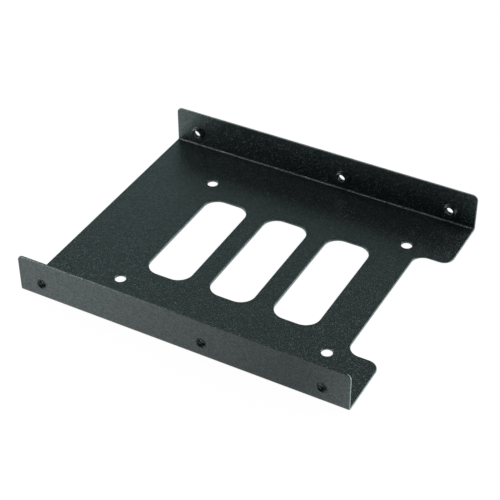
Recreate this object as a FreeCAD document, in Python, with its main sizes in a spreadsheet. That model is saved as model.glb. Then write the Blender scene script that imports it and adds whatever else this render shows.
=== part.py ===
import FreeCAD, Part

import math
import os

import Sketcher

# Drive bay adapter bracket. It is one sheet of steel, punched and then folded up along both
# long sides, so that a small drive can be screwed to the floor of the tray and the tray into a
# bay for a larger one.
#
# X runs along the flanges, from the closed end to the end with the connector notch.
# Y runs across the tray, from flange to flange, and Z points up.
# The origin is under the middle of the tray, on the surface that it rests on.
#
# All lengths are in millimetres. A shift is how far the middle of a row of openings lies from
# the middle of the tray, towards the open end.

SIZES = {
    # the folded sheet
    "sheet_thickness": 0.8,
    "tray_width": 101.6,
    "tray_height": 14.6,
    "bend_inner_radius": 0.5,
    "flange_corner_radius": 2.0,
    # the slots punched across the floor
    "slot_count": 3,
    "slot_width": 16.2,
    "slot_length": 46.3,
    "slot_corner_radius": 5.3,
    "slot_pitch": 23.8,
    "slot_row_shift": 2.0,
    # the notch that leaves room for the drive's connectors
    "notch_depth": 12.1,
    "notch_width": 55.9,
    "notch_inner_radius": 4.4,
    "tab_corner_radius": 4.0,
    # the clearance holes under the small drive, for M3 screws
    "drive_hole_diameter": 3.8,
    "drive_hole_spacing_along": 76.6,
    "drive_hole_spacing_across": 61.72,
    "drive_hole_shift": 4.4,
    # the tapped holes in both flanges, for the bay's 6-32 screws
    "bay_thread_diameter": 3.505,
    "bay_hole_height": 5.9,
    "bay_hole_span": 101.6,
    "middle_bay_hole_offset": 60.0,
    "closed_end_margin": 8.8,
    "open_end_margin": 9.3,
    # the collar that the punch draws out round each tapped hole
    "collar_wall": 0.5,
    "collar_height": 1.2,
    "collar_lead_in": 0.4,
    "collar_root": 0.2,
    # the blunt that stamping and powder coat leave on the cut edges
    "edge_blunt": 0.2,
}

# The tray's length: the span of the bay's holes and what the sheet runs past them.
TRAY_LENGTH = SIZES["bay_hole_span"] + SIZES["closed_end_margin"] + SIZES["open_end_margin"]
TRAY_LENGTH_RULE = (
    "(Sizes.bay_hole_span + Sizes.closed_end_margin + Sizes.open_end_margin)"
)

# A cut through the floor runs half of this way up and half of it down from the plane that the
# tray rests on, so it passes the sheet by the sheet's own thickness.
FLOOR_CUT_RULE = "4 * Sizes.sheet_thickness"

# How near a measured place has to be to a wanted one.
CLOSE = 1e-4

# Faces that meet at a larger angle than this have a sharp edge between them.
SHARP_ANGLE = math.radians(60)


def make_sheet(doc):
    """Puts the driving sizes into a spreadsheet, one named cell each."""
    sheet = doc.addObject("Spreadsheet::Sheet", "Sizes")
    for row, (name, value) in enumerate(SIZES.items(), start=1):
        sheet.set(f"A{row}", name)
        sheet.set(f"B{row}", str(value))
        sheet.setAlias(f"B{row}", name)
    doc.recompute()


def new_sketch(body, name, role, **offset):
    """A sketch on an origin plane, moved within it (x, y) or off it (z) by expressions."""
    sketch = body.newObject("Sketcher::SketchObject", name)
    plane = next(p for p in body.Origin.OriginFeatures if p.Role == role)
    sketch.AttachmentSupport = [(plane, "")]
    sketch.MapMode = "FlatFace"
    for direction, expression in offset.items():
        sketch.setExpression(f"AttachmentOffset.Base.{direction}", expression)
    return sketch


def relate(sketch, *constraints):
    """Adds constraints that hold no size, each given as a tuple."""
    for constraint in constraints:
        sketch.addConstraint(Sketcher.Constraint(*constraint))


def dimension(sketch, name, expression, *constraint):
    """Adds a named dimension to a sketch and ties it to the sizes."""
    index = sketch.addConstraint(Sketcher.Constraint(*constraint))
    sketch.renameConstraint(index, name)
    sketch.setExpression(f"Constraints.{name}", expression)


def line(start, end):
    """A straight line for a sketch, from one (x, y) to another."""
    return Part.LineSegment(FreeCAD.Vector(*start, 0), FreeCAD.Vector(*end, 0))


def circle(x, y, radius):
    """A circle for a sketch."""
    return Part.Circle(FreeCAD.Vector(x, y, 0), FreeCAD.Vector(0, 0, 1), radius)


def quarter_arc(x, y, radius, quarter):
    """A quarter circle round (x, y), the quarters counted anticlockwise from the first."""
    start = quarter * math.pi / 2
    return Part.ArcOfCircle(circle(x, y, radius), start, start + math.pi / 2)


def rounded_rectangle(sketch, width, length, radius):
    """A rectangle with four equal round corners, centred on the sketch's origin.

    Each size is a pair: its present value and the expression that drives it.
    """
    side = width[0] / 2
    end = length[0] / 2
    bend = radius[0]
    sketch.addGeometry(
        [
            line((bend - side, -end), (side - bend, -end)),
            quarter_arc(side - bend, bend - end, bend, 3),
            line((side, bend - end), (side, end - bend)),
            quarter_arc(side - bend, end - bend, bend, 0),
            line((side - bend, end), (bend - side, end)),
            quarter_arc(bend - side, end - bend, bend, 1),
            line((-side, end - bend), (-side, bend - end)),
            quarter_arc(bend - side, bend - end, bend, 2),
        ]
    )
    for piece in range(8):
        relate(sketch, ("Tangent", piece, 2, (piece + 1) % 8, 1))
    relate(
        sketch,
        ("Horizontal", 0),
        ("Vertical", 2),
        ("Horizontal", 4),
        ("Vertical", 6),
        ("Equal", 1, 3),
        ("Equal", 1, 5),
        ("Equal", 1, 7),
        ("Symmetric", 6, 1, 2, 1, -1, 1),
    )
    dimension(sketch, "width", width[1], "DistanceX", 6, 1, 2, 1, width[0])
    dimension(sketch, "length", length[1], "DistanceY", 0, 1, 4, 1, length[0])
    dimension(sketch, "radius", radius[1], "Radius", 1, radius[0])


def size(name):
    """A driving size's value, paired with the expression that reads it from the sheet."""
    return SIZES[name], f"Sizes.{name}"


def refresh(body, feature, grows=None):
    """Recomputes the document, and stops if the new feature didn't do its work.

    grows says whether the feature should add material or remove it. None accepts both.
    """
    before = feature.BaseFeature.Shape.Volume if feature.BaseFeature else 0.0
    body.Document.recompute()
    change = feature.Shape.Volume - before
    if abs(change) < CLOSE or (grows is not None and (change > 0) != grows):
        raise RuntimeError(f"{feature.Name} changed the volume by {change:.4f}")


def edges_where(body, wanted):
    """The names of the edges of a body's present shape that pass a test."""
    edges = body.Tip.Shape.Edges
    return [f"Edge{n}" for n, edge in enumerate(edges, start=1) if wanted(edge)]


def dress_edges(body, kind, name, property_name, expression, wanted):
    """Puts a fillet or chamfer on every edge of the present shape that passes a test."""
    names = edges_where(body, wanted)
    if not names:
        raise RuntimeError(f"{name} found no edge")
    base = body.Tip
    feature = body.newObject(kind, name)
    feature.Base = (base, names)
    feature.setExpression(property_name, expression)
    refresh(body, feature)


def fillet(body, name, expression, wanted):
    """Rounds the wanted edges to a radius."""
    dress_edges(body, "PartDesign::Fillet", name, "Radius", expression, wanted)


def chamfer(body, name, expression, wanted):
    """Bevels the wanted edges by the same size on both faces."""
    dress_edges(body, "PartDesign::Chamfer", name, "Size", expression, wanted)


def along(edge, axis):
    """True for a straight edge that is parallel to an axis."""
    if not isinstance(edge.Curve, Part.Line):
        return False
    return abs(abs(edge.Curve.Direction.dot(axis)) - 1) < CLOSE


def passes(edge, **place):
    """True for an edge whose middle has the given coordinates, whatever their sign."""
    middle = edge.CenterOfMass
    return all(
        abs(abs(getattr(middle, letter)) - value) < CLOSE
        for letter, value in place.items()
    )


def is_ring(edge, radius, y):
    """True for a full circle round a hole in a flange, at a distance from the middle plane."""
    if not isinstance(edge.Curve, Part.Circle) or len(edge.Vertexes) != 1:
        return False
    centre = edge.Curve.Center
    return abs(edge.Curve.Radius - radius) < CLOSE and abs(abs(centre.y) - y) < CLOSE


def is_sharp(shape, edge):
    """True where the two faces at an edge meet at a marked angle."""
    faces = shape.ancestorsOfType(edge, Part.Face)
    if len(faces) != 2:
        return False
    point = edge.valueAt((edge.FirstParameter + edge.LastParameter) / 2)
    normals = [face.normalAt(*face.Surface.parameter(point)) for face in faces]
    return normals[0].getAngle(normals[1]) > SHARP_ANGLE


def fold_tray(body):
    """The bare channel: a floor and two flanges, cut to length, with both bends."""
    width = SIZES["tray_width"]
    height = SIZES["tray_height"]
    wall = SIZES["sheet_thickness"]
    outer = width / 2
    inner = outer - wall
    corners = [
        (-outer, 0),
        (outer, 0),
        (outer, height),
        (inner, height),
        (inner, wall),
        (-inner, wall),
        (-inner, height),
        (-outer, height),
    ]
    profile = new_sketch(body, "channel_profile", "YZ_Plane")
    profile.addGeometry(
        [line(start, end) for start, end in zip(corners, corners[1:] + corners[:1])]
    )
    for piece in range(8):
        relate(profile, ("Coincident", piece, 2, (piece + 1) % 8, 1))
    relate(
        profile,
        ("Vertical", 1),
        ("Horizontal", 2),
        ("Vertical", 3),
        ("Horizontal", 4),
        ("Vertical", 5),
        ("Horizontal", 6),
        ("Vertical", 7),
        ("PointOnObject", 0, 1, -1),
        ("Symmetric", 0, 1, 0, 2, -2),
        ("Equal", 1, 7),
    )
    thick = "Sizes.sheet_thickness"
    dimension(profile, "width", "Sizes.tray_width", "DistanceX", 0, 1, 0, 2, width)
    dimension(profile, "height", "Sizes.tray_height", "DistanceY", 1, 1, 1, 2, height)
    dimension(profile, "floor", thick, "DistanceY", 1, 1, 3, 2, wall)
    dimension(profile, "far_flange", thick, "DistanceX", 2, 2, 2, 1, wall)
    dimension(profile, "near_flange", thick, "DistanceX", 6, 2, 6, 1, wall)

    channel = body.newObject("PartDesign::Pad", "channel")
    channel.Profile = profile
    channel.SideType = "Symmetric"
    channel.setExpression("Length", TRAY_LENGTH_RULE)
    refresh(body, channel, grows=True)

    lengthways = FreeCAD.Vector(1, 0, 0)
    fillet(
        body,
        "bends_inside",
        "Sizes.bend_inner_radius",
        lambda edge: along(edge, lengthways) and passes(edge, y=inner, z=wall),
    )
    fillet(
        body,
        "bends_outside",
        "Sizes.bend_inner_radius + Sizes.sheet_thickness",
        lambda edge: along(edge, lengthways) and passes(edge, y=outer, z=0),
    )


def cut_through_floor(body, name, sketch):
    """A pocket through the floor, both ways from the plane that the tray rests on."""
    pocket = body.newObject("PartDesign::Pocket", name)
    pocket.Profile = sketch
    pocket.Type = "Length"
    pocket.SideType = "Symmetric"
    pocket.setExpression("Length", FLOOR_CUT_RULE)
    refresh(body, pocket, grows=False)
    return pocket


def shape_outline(body):
    """The notch in the open end, the round corners, and the blunted edge all the way round."""
    # The notch is centred on the open end, so half of its sketch is in the air.
    sketch = new_sketch(
        body, "notch_outline", "XY_Plane", x=f"{TRAY_LENGTH_RULE} / 2"
    )
    rounded_rectangle(
        sketch,
        (2 * SIZES["notch_depth"], "2 * Sizes.notch_depth"),
        size("notch_width"),
        size("notch_inner_radius"),
    )
    cut_through_floor(body, "notch", sketch)

    end = TRAY_LENGTH / 2
    top = SIZES["tray_height"]
    side = SIZES["notch_width"] / 2
    across = FreeCAD.Vector(0, 1, 0)
    upright = FreeCAD.Vector(0, 0, 1)
    fillet(
        body,
        "flange_corners",
        "Sizes.flange_corner_radius",
        lambda edge: along(edge, across) and passes(edge, x=end, z=top),
    )
    fillet(
        body,
        "tab_corners",
        "Sizes.tab_corner_radius",
        lambda edge: along(edge, upright) and passes(edge, x=end, y=side),
    )
    shape = body.Tip.Shape
    chamfer(
        body, "outline_edges", "Sizes.edge_blunt", lambda edge: is_sharp(shape, edge)
    )


def blunt_upper_edges(body, name):
    """Blunts the sharp edges on the floor's upper face, which the punch enters by."""
    shape = body.Tip.Shape
    wall = SIZES["sheet_thickness"]
    chamfer(
        body,
        name,
        "Sizes.edge_blunt",
        lambda edge: passes(edge, z=wall) and is_sharp(shape, edge),
    )


def punch_slots(body):
    """The row of round-cornered slots across the floor."""
    sketch = new_sketch(
        body,
        "slot_outline",
        "XY_Plane",
        x="Sizes.slot_row_shift - (Sizes.slot_count - 1) * Sizes.slot_pitch / 2",
    )
    rounded_rectangle(
        sketch, size("slot_width"), size("slot_length"), size("slot_corner_radius")
    )
    slot = cut_through_floor(body, "first_slot", sketch)

    row = body.newObject("PartDesign::LinearPattern", "slot_row")
    row.Originals = [slot]
    row.Direction = (sketch, ["H_Axis"])
    row.Mode = "Spacing"
    row.setExpression("Offset", "Sizes.slot_pitch")
    row.setExpression("Occurrences", "Sizes.slot_count")
    body.Tip = row
    refresh(body, row)
    blunt_upper_edges(body, "slot_edges")


def punch_drive_holes(body):
    """Four plain holes on a rectangle, where a small drive is screwed down."""
    along_x, along_name = size("drive_hole_spacing_along")
    across_y, across_name = size("drive_hole_spacing_across")
    diameter, diameter_name = size("drive_hole_diameter")
    sketch = new_sketch(
        body, "drive_hole_outlines", "XY_Plane", x="Sizes.drive_hole_shift"
    )
    for side_x, side_y in ((1, 1), (-1, 1), (1, -1), (-1, -1)):
        centre_x = side_x * along_x / 2
        centre_y = side_y * across_y / 2
        sketch.addGeometry(circle(centre_x, centre_y, diameter / 2))
    relate(
        sketch,
        ("Equal", 0, 1),
        ("Equal", 0, 2),
        ("Equal", 0, 3),
        ("Symmetric", 0, 3, 1, 3, -2),
        ("Symmetric", 0, 3, 2, 3, -1),
        ("Symmetric", 0, 3, 3, 3, -1, 1),
    )
    dimension(sketch, "diameter", diameter_name, "Diameter", 0, diameter)
    dimension(
        sketch, "along", f"{along_name} / 2", "DistanceX", -1, 1, 0, 3, along_x / 2
    )
    dimension(
        sketch, "across", f"{across_name} / 2", "DistanceY", -1, 1, 0, 3, across_y / 2
    )
    cut_through_floor(body, "drive_holes", sketch)
    blunt_upper_edges(body, "drive_hole_edges")


def bay_hole_sketch(body, name, diameter, **offset):
    """Three equal circles in a line along a flange, on the bay's own hole spacing."""
    middle, middle_name = size("middle_bay_hole_offset")
    last, last_name = size("bay_hole_span")
    sketch = new_sketch(
        body,
        name,
        "XZ_Plane",
        x=f"Sizes.closed_end_margin - {TRAY_LENGTH_RULE} / 2",
        y="Sizes.bay_hole_height",
        **offset,
    )
    for centre in (0, middle, last):
        sketch.addGeometry(circle(centre, 0, diameter[0] / 2))
    relate(
        sketch,
        ("Equal", 0, 1),
        ("Equal", 0, 2),
        ("Coincident", 0, 3, -1, 1),
        ("PointOnObject", 1, 3, -1),
        ("PointOnObject", 2, 3, -1),
    )
    dimension(sketch, "diameter", diameter[1], "Diameter", 0, diameter[0])
    dimension(sketch, "middle", middle_name, "DistanceX", 0, 3, 1, 3, middle)
    dimension(sketch, "last", last_name, "DistanceX", 0, 3, 2, 3, last)
    return sketch


def draw_bay_holes(body):
    """Six tapped holes, each drawn inwards by its punch into a short collar."""
    bore = SIZES["bay_thread_diameter"]
    collar = bore + 2 * SIZES["collar_wall"]
    outer = SIZES["tray_width"] / 2
    inner = outer - SIZES["sheet_thickness"]
    tip = inner - SIZES["collar_height"]

    collar_sketch = bay_hole_sketch(
        body,
        "collar_outlines",
        (collar, "Sizes.bay_thread_diameter + 2 * Sizes.collar_wall"),
        z="Sizes.tray_width / 2 - Sizes.sheet_thickness",
    )
    collars = body.newObject("PartDesign::Pad", "near_collars")
    collars.Profile = collar_sketch
    collars.Reversed = True
    collars.setExpression("Length", "Sizes.collar_height")
    refresh(body, collars, grows=True)

    far_collars = body.newObject("PartDesign::Mirrored", "far_collars")
    far_collars.Originals = [collars]
    far_collars.MirrorPlane = (collar_sketch.AttachmentSupport[0][0], [""])
    body.Tip = far_collars
    refresh(body, far_collars, grows=True)

    bore_sketch = bay_hole_sketch(
        body, "bay_hole_outlines", (bore, "Sizes.bay_thread_diameter")
    )
    bores = body.newObject("PartDesign::Pocket", "bay_holes")
    bores.Profile = bore_sketch
    bores.Type = "Length"
    bores.SideType = "Symmetric"
    bores.setExpression("Length", "Sizes.tray_width + Sizes.sheet_thickness")
    refresh(body, bores, grows=False)

    fillet(
        body,
        "collar_lead_ins",
        "Sizes.collar_lead_in",
        lambda edge: is_ring(edge, bore / 2, outer),
    )
    chamfer(
        body,
        "collar_roots",
        "Sizes.collar_root",
        lambda edge: is_ring(edge, collar / 2, inner),
    )
    chamfer(
        body,
        "collar_tips",
        "Sizes.edge_blunt",
        lambda edge: is_ring(edge, collar / 2, tip),
    )


def check(doc, body):
    """Stops before anything is written if an object failed or the solid isn't sound."""
    for item in doc.Objects:
        if {"Invalid", "Error"} & set(item.State):
            raise RuntimeError(f"{item.Name} is {item.State}")
    shape = body.Shape
    if shape.isNull() or not shape.isValid() or len(shape.Solids) != 1:
        raise RuntimeError(f"{body.Label} is not one sound solid")


def main():
    doc = FreeCAD.newDocument("drive_bay_adapter_bracket")
    make_sheet(doc)
    body = doc.addObject("PartDesign::Body", "bracket")
    body.Label = "bracket"
    fold_tray(body)
    shape_outline(body)
    punch_slots(body)
    punch_drive_holes(body)
    draw_bay_holes(body)
    doc.recompute()
    check(doc, body)

    os.makedirs("parts", exist_ok=True)
    body.Shape.exportStep(f"parts/{body.Label}.step")
    box = body.Shape.BoundBox
    print(f"{body.Label}: {box.XLength:.2f} x {box.YLength:.2f} x {box.ZLength:.2f} mm")
    print(f"volume {body.Shape.Volume:.1f} mm3, {len(body.Shape.Faces)} faces")


main()
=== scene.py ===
import math

import bpy
import numpy as np
from mathutils import Matrix, Vector


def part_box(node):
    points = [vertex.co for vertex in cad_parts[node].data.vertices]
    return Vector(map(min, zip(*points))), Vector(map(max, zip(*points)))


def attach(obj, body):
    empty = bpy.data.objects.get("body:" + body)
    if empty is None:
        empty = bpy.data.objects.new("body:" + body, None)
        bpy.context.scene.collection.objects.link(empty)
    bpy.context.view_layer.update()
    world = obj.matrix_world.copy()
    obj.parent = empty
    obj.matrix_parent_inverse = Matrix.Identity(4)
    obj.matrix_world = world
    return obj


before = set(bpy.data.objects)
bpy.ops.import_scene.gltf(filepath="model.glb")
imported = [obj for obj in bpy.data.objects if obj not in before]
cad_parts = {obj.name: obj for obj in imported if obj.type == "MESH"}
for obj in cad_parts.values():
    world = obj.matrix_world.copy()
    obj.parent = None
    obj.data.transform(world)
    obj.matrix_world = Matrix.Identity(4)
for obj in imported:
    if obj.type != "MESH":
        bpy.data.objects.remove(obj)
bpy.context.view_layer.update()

MM = 0.001

# Folded sheet, as the frame has it
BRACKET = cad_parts["bracket"]
LOWEST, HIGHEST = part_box("bracket")
OUTER_FACE = HIGHEST.y

# Tapped holes of the two flanges, with the bore as a radius
CLOSED_END_HOLE = LOWEST.x + 8.8 * MM
MIDDLE_HOLE = CLOSED_END_HOLE + 60.0 * MM
OPEN_END_HOLE = CLOSED_END_HOLE + 101.6 * MM
HOLE_HEIGHT = 5.9 * MM
COLLAR_DEPTH = 2.0 * MM
BORE = 1.7525 * MM
COATED_LEAD_IN = 0.4 * MM

# Lines with painted highlights, each as its distance from the middle plane and its height
SHEET = 0.8 * MM
INNER_BEND = 0.5 * MM
CREASE_RISE = INNER_BEND * (1 - math.sqrt(0.5))
CREASE = (OUTER_FACE - SHEET - CREASE_RISE, SHEET + CREASE_RISE)
TOP_EDGE = (OUTER_FACE, HIGHEST.z)

# Unified coarse thread, number six, as radii and depths
THREAD_PITCH = 25.4 / 32 * MM
THREAD_ROOT = 1.7325 * MM
THREAD_CREST = 1.32 * MM
LEAD_IN_MOUTH = 1.8 * MM
LEAD_IN_SINK = 0.2 * MM
TIP_CHAMFER = 0.06 * MM
TIP_FLARE = 1.6
TIP_GAP = 0.004 * MM
TUCK = 0.03 * MM
TIP_TUCK = 0.06 * MM
THREAD_STEPS_ROUND = 168
THREAD_STEPS_DEEP = 96

# Grain of the powder coat, with edges in grains and heights in millimetres
GRAIN = 0.5 * MM
GRAIN_EDGE = 0.55
GRAIN_HEIGHT = 0.17
GRAIN_SPREAD = 1.5
SWELL = 0.6 * MM
SWELL_HEIGHT = 0.09

# Gloss of the powder coat, from its dull grains to its bright ones
CLOUD = 14.0 * MM
CLOUD_ROUGHNESS = 0.06
DULL_ROUGHNESS = 0.40
BRIGHT_ROUGHNESS = 0.33
DULL_SHINE = 0.63
BRIGHT_SHINE = 0.98
COAT_REFRACTION = 1.67

# Specks of dust, with their edges as a share of the space between them
DUST_SPACING = 10.0 * MM
DUST_EDGE = (0.02, 0.04)

# Painted highlight lines: how far each reaches, the size of its spots, and the noise between which they
# rise
CREASE_WIDTH = 0.45 * MM
CREASE_SPOT = 0.6 * MM
CREASE_SPOTS = (0.3, 0.64)
NEAR_EDGE_WIDTH = 0.4 * MM
FAR_EDGE_WIDTH = 0.9 * MM
EDGE_SPOT = 2.5 * MM
EDGE_SPOTS = (-0.2, 0.6)
NEAR_EDGE_LOSS = 0.85
NEAR_EDGE_FADES = (-40 * MM, 20 * MM)

# Cut faces, thinly coated and with a painted highlight: how squarely they face along the bracket, and how
# far from its middle they change
CUT_FACING = (0.6, 0.95)
CUT_METALLIC = 0.6
DRIVE_HOLES_START = (27 * MM, 28 * MM)
DRIVE_HOLES_END = (34 * MM, 35 * MM)
BRACKET_ENDS = (52 * MM, 53 * MM)

# Tapped steel: the depth at which the coat of a hole's mouth ends, its stains and its scratches
MOUTH_END = (0.8 * MM, 1.2 * MM)
STAIN = 0.5 * MM
STAIN_EDGE = (0.36, 0.56)
SCRATCH = 0.12 * MM
SCRATCH_DEPTH = 0.01 * MM
SCRATCH_STRENGTH = 0.5
SCRATCH_ROUGHNESS = 0.12
STEEL_ROUGHNESS = 0.28

# Camera, at the photograph's place
PICTURE_WIDTH = 500
SENSOR_WIDTH = 36.0
FOCAL_PIXELS = 1408.0
CAMERA_PLACE = Vector((0.178967, -0.327504, 0.298164))
CAMERA_AZIMUTH = math.radians(28.8676)
CAMERA_PITCH = math.radians(38.2506)
CAMERA_ROLL = math.radians(-0.3187)
NEAREST_SEEN = 0.01
FARTHEST_SEEN = 50

# Studio: the paper, what reflections show of it with a painted falloff of light, and the room
FLOOR_HALF = 8.0
FLOOR_DROP = 0.05 * MM
FLOOR_GREY = 0.8
FLOOR_WHITE_SHARE = 0.9
FLOOR_WHITE = 1.08
MIRRORED_LEFT = 1.0
MIRRORED_RIGHT = 0.42
MIRRORED_FRONT = (-55 * MM, -30 * MM)
MIRRORED_FADES = (-70 * MM, 70 * MM)
MIRRORED_RIGHT_END = (35 * MM, 70 * MM)
ROOM_LEVEL = 0.02
HORIZON_BAND = (0.17, 0.2)
MIRRORED_BAND = 0.05


class Wire:
    """A node's output, with which the ordinary signs of arithmetic write a shader's sums."""

    def __init__(self, finish, socket):
        self.finish = finish
        self.socket = socket

    def __add__(self, other):
        return self.finish.calculate("ADD", self, other)

    __radd__ = __add__

    def __sub__(self, other):
        return self.finish.calculate("SUBTRACT", self, other)

    def __rsub__(self, other):
        return self.finish.calculate("SUBTRACT", other, self)

    def __mul__(self, other):
        return self.finish.calculate("MULTIPLY", self, other)

    __rmul__ = __mul__

    def __pow__(self, other):
        return self.finish.calculate("POWER", self, other)

    def __abs__(self):
        return self.finish.calculate("ABSOLUTE", self)

    def other(self, name):
        """The output of this name of the same node."""
        return Wire(self.finish, self.socket.node.outputs[name])

    def between(self, low, high):
        """Rises smoothly from 0 at low to 1 at high."""
        settings = {"interpolation_type": "SMOOTHSTEP"}
        values = {"Value": self, "From Min": low, "From Max": high}
        return self.finish.node("ShaderNodeMapRange", settings, values)


class Finish:
    """The nodes of one material or of the world."""

    def __init__(self, owner):
        owner.use_nodes = True
        self.owner = owner
        self.tree = owner.node_tree
        self.tree.nodes.clear()

    def node(self, kind, settings=None, values=None, output=0):
        """Adds a node with these settings, and these values or links at its sockets.

        It returns the output asked for.
        """
        made = self.tree.nodes.new(kind)
        for name, value in (settings or {}).items():
            setattr(made, name, value)
        for name, value in (values or {}).items():
            if isinstance(value, Wire):
                self.tree.links.new(value.socket, made.inputs[name])
            else:
                made.inputs[name].default_value = value
        return Wire(self, made.outputs[output] if made.outputs else None)

    def calculate(self, operation, *values):
        """Adds a Math node with these values."""
        return self.node("ShaderNodeMath", {"operation": operation}, dict(enumerate(values)))

    def place(self):
        """The point of the piece, in metres."""
        return self.node("ShaderNodeTexCoord", output="Object")

    def noise(self, size, detail=2.0, roughness=0.5):
        """Cloudy noise whose patches are about this size, from 0 to 1."""
        values = {"Vector": self.place(), "Scale": 1 / size, "Detail": detail, "Roughness": roughness}
        return self.node("ShaderNodeTexNoise", {"noise_dimensions": "3D"}, values)

    def grains(self, size):
        """Grains of about this size.

        It returns the distance from a grain's middle, in grains, and two numbers of the grain's own.
        """
        values = {"Vector": self.place(), "Scale": 1 / size}
        cells = self.node("ShaderNodeTexVoronoi", {"feature": "F1"}, values)
        chances = self.parts(cells.other("Color"))
        return cells.other("Distance"), chances[0], chances[1]

    def parts(self, vector):
        """The three numbers of a vector."""
        separate = self.node("ShaderNodeSeparateXYZ", None, {"Vector": vector})
        return [separate.other(name) for name in "XYZ"]

    def beside(self, line, width):
        """1 on a line along the bracket, alike on both flanges, falling to 0 at this width away."""
        across, up = self.parts(self.place())[1:]
        off = abs(across) - line[0]
        rise = up - line[1]
        return 1 - (off * off + rise * rise).between(0.0, width**2)

    def blend(self, share, first, second):
        """The first colour, turning into the second as the share rises to 1."""
        settings = {"data_type": "RGBA"}
        return self.node("ShaderNodeMix", settings, {0: share, 6: first, 7: second}, output=2)

    def light_path(self, name):
        """1 for a ray of this kind."""
        return self.node("ShaderNodeLightPath", output=name)


def rgb(red, green, blue):
    """A colour with full cover."""
    return (red, green, blue, 1.0)


# Colours of the light, the coat, its painted highlights, the steel and the paper
PLAIN_LIGHT = (1.0, 1.0, 1.0)
COOL_LIGHT = (0.78, 1.0, 1.0)
COAT_DULL = rgb(0.002, 0.0033, 0.0033)
COAT_BRIGHT = rgb(0.004, 0.006, 0.006)
# Cut faces: a thin coat with a painted highlight, darker inside than at the ends
CUT_HIGHLIGHT_INSIDE = rgb(0.17, 0.22, 0.22)
CUT_HIGHLIGHT_AT_ENDS = rgb(0.44, 0.55, 0.55)
# Painted highlights along the creases and the flanges' top edges
CREASE_HIGHLIGHT = rgb(0.25, 0.255, 0.25)
TOP_EDGE_HIGHLIGHT = rgb(0.44, 0.49, 0.47)
DUST = rgb(0.2, 0.21, 0.21)
BARE_STEEL = rgb(0.18, 0.21, 0.22)
COAT_TINT = rgb(0.8, 1.0, 0.98)
THREAD_TINT = rgb(0.84, 1.0, 0.98)
PAPER_BEHIND = rgb(0.95, 1.0, 1.0)
WHITE = rgb(1, 1, 1)


def grey(level):
    """A grey with full cover."""
    return rgb(level, level, level)


def coat_relief(coat, reach, tallness):
    """Low swells, and on them grains of uneven height that slope down from their middles."""
    swell = coat.noise(SWELL, detail=1.0, roughness=0.6)
    grain = (1 - reach.between(0.0, GRAIN_EDGE)) * tallness**GRAIN_SPREAD
    height = SWELL_HEIGHT * swell + GRAIN_HEIGHT * grain
    return coat.node("ShaderNodeBump", None, {"Strength": 1.0, "Distance": MM, "Height": height})


def painted_crease_highlights(coat):
    """Painted highlight: 1 in spots along the crease inside each bend."""
    return coat.beside(CREASE, CREASE_WIDTH) * coat.noise(CREASE_SPOT).between(*CREASE_SPOTS)


def painted_top_edge_highlights(coat, along, across):
    """Painted highlight: 1 in spots along the flanges' top edges.

    The line is wider on the far flange, and on the near one it fades to the right.
    """
    far = across.between(0.0, MM)
    near = (1 - far) * (1 - NEAR_EDGE_LOSS * along.between(*NEAR_EDGE_FADES))
    line = coat.beside(TOP_EDGE, NEAR_EDGE_WIDTH) * near + coat.beside(TOP_EDGE, FAR_EDGE_WIDTH) * far
    return line * coat.noise(EDGE_SPOT).between(*EDGE_SPOTS)


def cut_faces_and_highlight(coat, along, across):
    """1 on what faces along the bracket, as its cut ends do, but not in the rows of drive holes, whose
    walls are left in shade.

    With it comes the colour there, a thin coat with a painted highlight, which is paler at the bracket's
    ends than in its slots and notch.
    """
    aside = abs(across)
    in_row = aside.between(*DRIVE_HOLES_START) * (1 - aside.between(*DRIVE_HOLES_END))
    ends = abs(along).between(*BRACKET_ENDS)
    facing = coat.parts(coat.node("ShaderNodeNewGeometry", output="True Normal"))[0]
    cut_and_highlight = abs(facing).between(*CUT_FACING) * (1 - in_row * (1 - ends))
    return cut_and_highlight, coat.blend(ends, CUT_HIGHLIGHT_INSIDE, CUT_HIGHLIGHT_AT_ENDS)


def dust_specks(coat):
    """A few specks, each with its own strength."""
    apart, strength = coat.grains(DUST_SPACING)[:2]
    return (1 - apart.between(*DUST_EDGE)) * strength


def make_powder_coat():
    """Black powder coat: fine grains, each with its own height and gloss, under soft clouds of gloss.

    It has painted highlights in spots along the creases and the flanges' top edges, and its cut faces are
    pale with a thin coat and a painted highlight, and it has a few specks of dust. Some of these tones go
    by place, as the photograph shows them.
    """
    coat = Finish(bpy.data.materials.new("black_powder_coat_with_painted_highlights"))
    reach, tallness, gloss = coat.grains(GRAIN)
    along, across = coat.parts(coat.place())[:2]
    cut_and_highlight, cut_highlight_colour = cut_faces_and_highlight(coat, along, across)
    shade = coat.blend(gloss, COAT_DULL, COAT_BRIGHT)
    # Cut faces: a thin coat with a painted highlight
    shade = coat.blend(cut_and_highlight, shade, cut_highlight_colour)
    # Painted highlight in spots along the creases
    shade = coat.blend(painted_crease_highlights(coat), shade, CREASE_HIGHLIGHT)
    # Painted highlight in spots along the flanges' top edges, fading to the right
    shade = coat.blend(painted_top_edge_highlights(coat, along, across), shade, TOP_EDGE_HIGHLIGHT)
    shade = coat.blend(dust_specks(coat), shade, DUST)
    values = {
        "Base Color": shade,
        "Metallic": CUT_METALLIC * cut_and_highlight,
        "Roughness": DULL_ROUGHNESS - CLOUD_ROUGHNESS * (coat.noise(CLOUD) - 0.5),
        "IOR": COAT_REFRACTION,
        "Specular IOR Level": DULL_SHINE,
        "Specular Tint": COAT_TINT,
        "Normal": coat_relief(coat, reach, tallness),
    }
    dull = coat.node("ShaderNodeBsdfPrincipled", None, values)
    values |= {"Specular IOR Level": BRIGHT_SHINE, "Roughness": BRIGHT_ROUGHNESS}
    bright = coat.node("ShaderNodeBsdfPrincipled", None, values)
    surface = coat.node("ShaderNodeMixShader", None, {0: gloss, 1: dull, 2: bright})
    coat.node("ShaderNodeOutputMaterial", None, {"Surface": surface})
    return coat.owner


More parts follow.
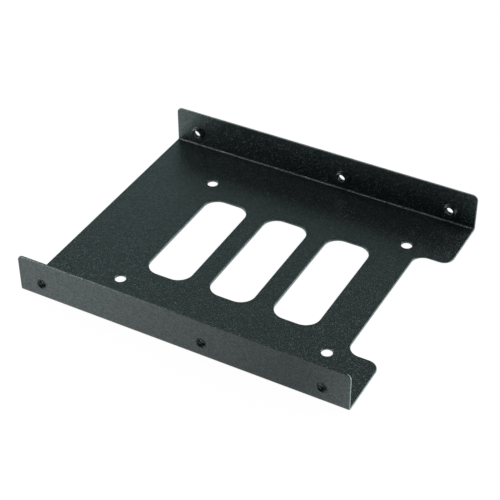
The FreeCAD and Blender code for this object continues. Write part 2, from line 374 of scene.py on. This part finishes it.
def make_cut_steel():
    """Tapped steel: bare in the depth of a hole, with remains of the coat on it and coated at its mouth."""
    steel = Finish(bpy.data.materials.new("tapped_steel"))
    across = steel.parts(steel.place())[1]
    depth = OUTER_FACE - abs(across)
    mouth = 1 - depth.between(*MOUTH_END)
    stains = steel.noise(STAIN, detail=3.0).between(*STAIN_EDGE)
    remains = steel.calculate("MAXIMUM", mouth, stains)
    scratch = steel.noise(SCRATCH)
    height = {"Strength": SCRATCH_STRENGTH, "Distance": SCRATCH_DEPTH, "Height": scratch}
    relief = steel.node("ShaderNodeBump", None, height)
    values = {
        "Base Color": steel.blend(remains, BARE_STEEL, COAT_BRIGHT),
        "Metallic": 1 - remains,
        "Roughness": STEEL_ROUGHNESS + SCRATCH_ROUGHNESS * scratch,
        "Specular IOR Level": 0.5,
        "Specular Tint": THREAD_TINT,
        "Normal": relief,
    }
    surface = steel.node("ShaderNodeBsdfPrincipled", None, values)
    steel.node("ShaderNodeOutputMaterial", None, {"Surface": surface})
    return steel.owner


def make_floor_white():
    """White paper: white to the camera and in reflections, with a trace of its real light and shadow.

    In reflections the paper in front of the bracket isn't one white: a painted falloff of light darkens it
    from the left towards the right, and it is white again at the right end. Under and behind the bracket it
    has a faint cool tint there, painted into its reflections. From below it can be seen through.
    """
    paper = Finish(bpy.data.materials.new("white_paper"))
    glossy = paper.light_path("Is Glossy Ray")
    seen = paper.light_path("Is Camera Ray") + glossy + paper.light_path("Is Transmission Ray")
    share = paper.calculate("MINIMUM", seen, 1.0) * FLOOR_WHITE_SHARE
    along, across = paper.parts(paper.place())[:2]
    # Painted light: in reflections the paper in front darkens to the right, and behind it is tinted cool
    front = 1 - across.between(*MIRRORED_FRONT)
    fading = paper.blend(along.between(*MIRRORED_FADES), grey(MIRRORED_LEFT), grey(MIRRORED_RIGHT))
    fading = paper.blend(along.between(*MIRRORED_RIGHT_END), fading, grey(MIRRORED_LEFT))
    matt = paper.node("ShaderNodeBsdfDiffuse", None, {"Color": grey(FLOOR_GREY)})
    mirrored = paper.blend(front, PAPER_BEHIND, fading)
    tone = paper.blend(glossy, WHITE, mirrored)
    white = paper.node("ShaderNodeEmission", None, {"Color": tone, "Strength": FLOOR_WHITE})
    mixed = paper.node("ShaderNodeMixShader", None, {0: share, 1: matt, 2: white})
    clear = paper.node("ShaderNodeBsdfTransparent")
    below = paper.node("ShaderNodeNewGeometry", output="Backfacing")
    sided = paper.node("ShaderNodeMixShader", None, {0: below, 1: mixed, 2: clear})
    paper.node("ShaderNodeOutputMaterial", None, {"Surface": sided})
    return paper.owner


def paint(piece, material):
    """Gives the piece this one material."""
    piece.data.materials.clear()
    piece.data.materials.append(material)


def make_piece(name, grid, closed_round):
    """A mesh from a grid of points, rows by columns, whose columns join up when closed_round is true."""
    rows, columns = grid.shape[:2]
    number = np.arange(rows * columns).reshape(rows, columns)
    if closed_round:
        number = np.concatenate([number, number[:, :1]], axis=1)
    corners = np.stack([number[:-1, :-1], number[1:, :-1], number[1:, 1:], number[:-1, 1:]], axis=-1)
    faces = corners.reshape(-1, 4)
    mesh = bpy.data.meshes.new(name)
    mesh.from_pydata(grid.reshape(-1, 3).tolist(), [], faces.tolist())
    mesh.shade_smooth()
    mesh.validate()
    piece = bpy.data.objects.new(name, mesh)
    bpy.context.scene.collection.objects.link(piece)
    return piece


def bare_metal_depth():
    """How deep the coated quarter circle of the sheet's own lead-in has narrowed to the thread's mouth.

    The quarter circle has its centre at the lead-in's radius from the bore and from the outer face.
    """
    from_centre = BORE + COATED_LEAD_IN - LEAD_IN_MOUTH
    return COATED_LEAD_IN - math.sqrt(COATED_LEAD_IN**2 - from_centre**2)


def lead_in_radius(depth):
    """A quarter of an ellipse, from the thread's mouth in to its crests."""
    left = np.clip(1 - (depth - bare_metal_depth()) / LEAD_IN_SINK, 0, 1)
    return LEAD_IN_MOUTH - (LEAD_IN_MOUTH - THREAD_CREST) * np.sqrt(1 - left**2)


def thread_radius(turn, depth):
    """A wave along the hole, a pitch long, that moves on by a pitch in each turn.

    It has flanks at 30 degrees to the hole's square section, an eighth of a pitch of flat at the root
    and what is left of the pitch at the crest.
    """
    phase = np.mod(depth / THREAD_PITCH - turn, 1.0)
    from_root = np.minimum(phase, 1.0 - phase) * THREAD_PITCH - THREAD_PITCH / 16
    inward = np.clip(from_root, 0, None) / math.tan(math.radians(30))
    return np.clip(THREAD_ROOT - inward, THREAD_CREST, None)


def tapped_hole(name, along, side):
    """The threaded wall of one hole, as a radius over the angle round it and the depth from its outer face.

    The radius is the largest of the thread's own, the lead-in's and the tip's, since each of them
    takes metal away. The first and last rows are tucked into the sheet's own wall.
    """
    depth = np.linspace(bare_metal_depth(), COLLAR_DEPTH - TIP_GAP, THREAD_STEPS_DEEP)[:, None]
    turn = (np.arange(THREAD_STEPS_ROUND) / THREAD_STEPS_ROUND)[None, :]
    tip = THREAD_CREST + np.clip(depth - (COLLAR_DEPTH - TIP_CHAMFER), 0, None) * TIP_FLARE
    radius = np.maximum(np.maximum(thread_radius(turn * side, depth), lead_in_radius(depth)), tip)
    radius[0] = LEAD_IN_MOUTH + TUCK
    radius[-1] = THREAD_ROOT + TIP_TUCK
    angle = turn * 2 * math.pi
    grid = np.empty(radius.shape + (3,))
    grid[..., 0] = along + radius * np.cos(angle)
    grid[..., 1] = side * (OUTER_FACE - depth)
    grid[..., 2] = HOLE_HEIGHT + radius * np.sin(angle)
    if side < 0:
        grid = grid[:, ::-1]
    return make_piece(name, grid, closed_round=True)


def make_tapped_holes(steel):
    """Three tapped holes in each flange."""
    places = {"closed_end": CLOSED_END_HOLE, "middle": MIDDLE_HOLE, "open_end": OPEN_END_HOLE}
    for flange, side in {"near": -1, "far": 1}.items():
        for end, along in places.items():
            hole = tapped_hole(f"{flange}_flange_thread_{end}", along, side)
            paint(hole, steel)
            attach(hole, "root")


def make_camera():
    """The camera stands where the photograph was taken from."""
    lens = bpy.data.cameras.new("photograph_view")
    lens.sensor_width = SENSOR_WIDTH
    lens.lens = FOCAL_PIXELS / PICTURE_WIDTH * SENSOR_WIDTH
    lens.clip_start = NEAREST_SEEN
    lens.clip_end = FARTHEST_SEEN
    camera = bpy.data.objects.new("photograph_view", lens)
    bpy.context.scene.collection.objects.link(camera)
    turned = Matrix.Rotation(CAMERA_AZIMUTH, 3, "Z")
    tilted = Matrix.Rotation(math.pi / 2 - CAMERA_PITCH, 3, "X")
    rolled = Matrix.Rotation(CAMERA_ROLL, 3, "Z")
    camera.location = CAMERA_PLACE
    camera.rotation_euler = (turned @ tilted @ rolled).to_euler()
    bpy.context.scene.camera = camera


def make_softbox(name, azimuth, elevation, distance, width, height, level, colour):
    """A soft lamp that looks at the bracket. Its level is how bright its face is, where white is 1."""
    lamp = bpy.data.lights.new(name, "AREA")
    lamp.shape = "RECTANGLE"
    lamp.size = width
    lamp.size_y = height
    lamp.energy = level * math.pi * width * height
    lamp.color = colour
    box = bpy.data.objects.new(name, lamp)
    bpy.context.scene.collection.objects.link(box)
    turn, rise = math.radians(azimuth), math.radians(elevation)
    away = Vector((math.sin(turn) * math.cos(rise), math.cos(turn) * math.cos(rise), math.sin(rise)))
    box.location = away * distance
    box.rotation_euler = away.to_track_quat("Z", "Y").to_euler()


def make_lights():
    """Softboxes round the bracket, by compass: 0 is behind it (+Y), 90 to its right (+X)."""
    make_softbox(
        "back_left_low_softbox", azimuth=-30, elevation=20, distance=1.2,
        width=0.8, height=0.8, level=0.55, colour=COOL_LIGHT,
    )
    make_softbox(
        "back_right_softbox", azimuth=42, elevation=27, distance=1.6,
        width=1.6, height=1.3, level=2.6, colour=PLAIN_LIGHT,
    )
    make_softbox(
        "top_softbox", azimuth=0, elevation=88, distance=1.2,
        width=0.8, height=0.8, level=1.35, colour=PLAIN_LIGHT,
    )
    make_softbox(
        "front_left_softbox", azimuth=-149, elevation=44, distance=1.2,
        width=0.8, height=0.8, level=0.04, colour=COOL_LIGHT,
    )
    make_softbox(
        "left_close_softbox", azimuth=-100, elevation=20, distance=0.26,
        width=0.18, height=0.18, level=2.1, colour=PLAIN_LIGHT,
    )
    make_softbox(
        "left_low_softbox", azimuth=-101, elevation=7, distance=0.5,
        width=0.2, height=0.11, level=1.5, colour=PLAIN_LIGHT,
    )
    make_softbox(
        "front_left_close_softbox", azimuth=-135, elevation=18, distance=0.4,
        width=0.25, height=0.2, level=0.1, colour=COOL_LIGHT,
    )


def make_world():
    """A dim room, white to the camera, and in reflections a little lighter near the horizon."""
    world = bpy.data.worlds.new("studio")
    bpy.context.scene.world = world
    room = Finish(world)
    mirrored = room.light_path("Is Glossy Ray") + room.light_path("Is Transmission Ray")
    away = room.node("ShaderNodeTexCoord", output="Generated")
    up = room.parts(away)[2]
    band = 1 - up.between(*HORIZON_BAND)
    share = room.light_path("Is Camera Ray") + MIRRORED_BAND * mirrored * band
    level = room.blend(share, grey(ROOM_LEVEL), WHITE)
    glow = room.node("ShaderNodeBackground", None, {"Color": level, "Strength": 1.0})
    room.node("ShaderNodeOutputWorld", None, {"Surface": glow})


def make_floor():
    """A flat sheet of white paper under the bracket."""
    line = np.array([-FLOOR_HALF, FLOOR_HALF])
    grid = np.zeros((2, 2, 3))
    grid[..., 0] = line[:, None]
    grid[..., 1] = line[None, :]
    grid[..., 2] = -FLOOR_DROP
    floor = make_piece("paper_floor", grid, closed_round=False)
    paint(floor, make_floor_white())


paint(BRACKET, make_powder_coat())
make_tapped_holes(make_cut_steel())
make_camera()
make_world()
make_lights()
make_floor()

bpy.context.scene.view_settings.view_transform = "Standard"
